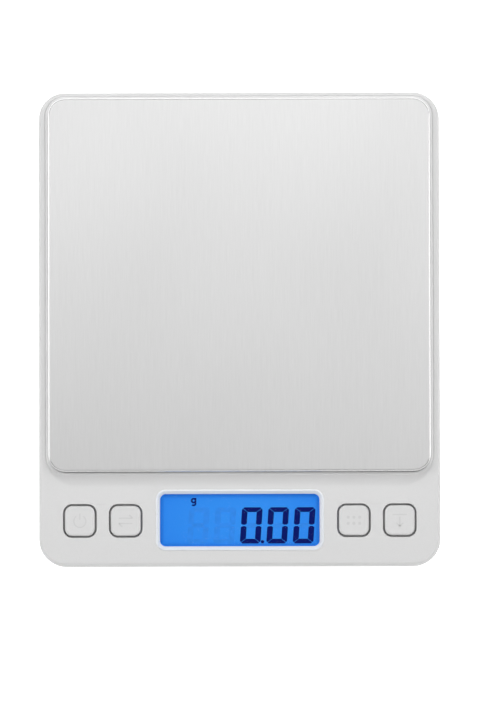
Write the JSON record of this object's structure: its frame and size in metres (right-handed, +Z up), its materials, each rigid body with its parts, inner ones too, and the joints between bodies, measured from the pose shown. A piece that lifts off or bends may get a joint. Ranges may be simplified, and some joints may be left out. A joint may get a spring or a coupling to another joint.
{
  "type": "digital gram scale",
  "caption": "Flat digital gram scale with a square brushed steel weighing platform over a silver case, a lit blue readout and push buttons in front.",
  "frame": {"origin": "on the table under the middle of the case, at the level of the feet's undersides", "axes": "+Z up, +Y from the control panel towards the back of the case, +X to the right as seen by the user"},
  "size_m": [0.106, 0.1254, 0.019],
  "materials": {
    "case_plastic": "silver-grey painted plastic, satin",
    "button_plastic": "silver-grey, satin",
    "brushed_steel": "stainless, brushed front to back",
    "white_plastic": "white, satin",
    "clear_window": "clear acrylic, polished",
    "lcd_blue": "lit blue readout",
    "black_plastic": "black, moulded",
    "rubber": "dark grey, matt",
    "beam_aluminium": "machined",
    "zinc_steel": "zinc plated steel",
    "spring_steel": "nickel plated spring steel",
    "circuit_board": "green solder mask",
    "silicone": "white silicone sealant",
    "tape": "white foam tape",
    "red_insulation": "red wire insulation",
    "cell_sleeve": "plain printed cell sleeve"
  },
  "bodies": {
    "case": {"top_cover": "case_plastic", "bottom_case": "case_plastic", "switch_body_power": "black_plastic", "switch_body_mode": "black_plastic", "switch_body_count": "black_plastic", "switch_body_tare": "black_plastic", "foot_front_left": "rubber", "foot_front_right": "rubber", "foot_back_left": "rubber", "foot_back_right": "rubber", "case_screw_1": "zinc_steel", "board_screw_1": "zinc_steel", "case_screw_2": "zinc_steel", "board_screw_2": "zinc_steel", "case_screw_3": "zinc_steel", "board_screw_3": "zinc_steel", "case_screw_4": "zinc_steel", "board_screw_4": "zinc_steel", "beam_screw_fixed_1": "zinc_steel", "beam_screw_fixed_2": "zinc_steel", "load_cell": "beam_aluminium", "gauge_coating_top": "silicone", "gauge_coating_bottom": "silicone", "main_board": "circuit_board", "controller_chip": "black_plastic", "converter_chip": "black_plastic", "display_bezel": "white_plastic", "display_window": "clear_window", "lcd_glass": "lcd_blue", "lcd_backlight": "white_plastic", "lcd_contact_strip_front": "rubber", "lcd_contact_strip_back": "rubber", "battery_front": "cell_sleeve", "battery_back": "cell_sleeve", "battery_spring_front": "spring_steel", "battery_spring_back": "spring_steel", "battery_negative_plate": "spring_steel", "battery_positive_plate": "spring_steel", "battery_bridge_plate": "spring_steel", "load_cell_cable": "black_plastic", "battery_lead_black": "black_plastic", "battery_lead_red": "red_insulation"},
    "platform": {"weighing_platform": "brushed_steel", "platform_carrier": "black_plastic", "adhesive_tape_front": "tape", "adhesive_tape_back": "tape", "beam_screw_free_1": "zinc_steel", "beam_screw_free_2": "zinc_steel"},
    "battery_door": {"battery_door": "case_plastic"},
    "power_button": {"power_button": "button_plastic", "switch_plunger_power": "black_plastic"},
    "mode_button": {"mode_button": "button_plastic", "switch_plunger_mode": "black_plastic"},
    "count_button": {"count_button": "button_plastic", "switch_plunger_count": "black_plastic"},
    "tare_button": {"tare_button": "button_plastic", "switch_plunger_tare": "black_plastic"}
  },
  "joints": [
    {"name": "platform_load", "type": "slide", "parent": "case", "child": "platform", "axis": [0, 0, -1], "range_m": [0, 0.0003], "stiffness_N_per_m": 16000, "springref_m": -0.0001, "deforming": ["load_cell", "gauge_coating_top", "gauge_coating_bottom"]},
    {"name": "power_press", "type": "slide", "parent": "case", "child": "power_button", "axis": [0, 0, -1], "range_m": [0, 0.0005], "stiffness_N_per_m": 1500, "springref_m": -0.0001},
    {"name": "mode_press", "type": "slide", "parent": "case", "child": "mode_button", "axis": [0, 0, -1], "range_m": [0, 0.0005], "stiffness_N_per_m": 1500, "springref_m": -0.0001},
    {"name": "count_press", "type": "slide", "parent": "case", "child": "count_button", "axis": [0, 0, -1], "range_m": [0, 0.0005], "stiffness_N_per_m": 1500, "springref_m": -0.0001},
    {"name": "tare_press", "type": "slide", "parent": "case", "child": "tare_button", "axis": [0, 0, -1], "range_m": [0, 0.0005], "stiffness_N_per_m": 1500, "springref_m": -0.0001},
    {"name": "battery_door_tilt", "type": "hinge", "parent": "case", "child": "battery_door", "pos_m": [0, 0.0303, 0.0019], "axis": [-1, 0, 0], "range_deg": [0, 45]}
  ]
}
